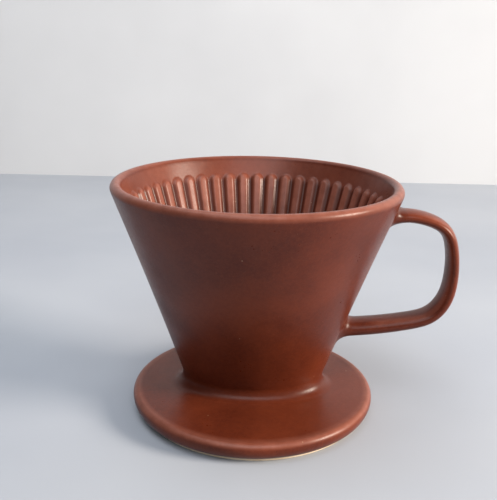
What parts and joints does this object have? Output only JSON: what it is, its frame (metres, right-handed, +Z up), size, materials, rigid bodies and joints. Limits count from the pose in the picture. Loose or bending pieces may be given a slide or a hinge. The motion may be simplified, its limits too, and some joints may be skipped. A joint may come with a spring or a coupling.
{
  "type": "pour over coffee dripper",
  "caption": "Glazed ceramic pour over dripper: ribbed wedge cone on a round saucer flange, with a side strap handle.",
  "frame": {"origin": "on the cone's vertical axis at the level of the foot ring's standing face", "axes": "+Z up out of the cone's mouth; +X towards the handle and along the slot-shaped foot of the cone"},
  "size_m": [0.144, 0.118, 0.0995],
  "materials": {
    "glaze": "satin matte brown glaze",
    "bare_clay": "bare fired clay"
  },
  "bodies": {
    "root": {"cone_wall": "glaze", "filter_ribs": "glaze", "drain_floor": "glaze", "saucer_flange": "glaze", "foot_ring": "bare_clay", "base_slip_bead": "glaze", "handle": "glaze", "upper_handle_slip_bead": "glaze", "lower_handle_slip_bead": "glaze"}
  },
  "joints": []
}
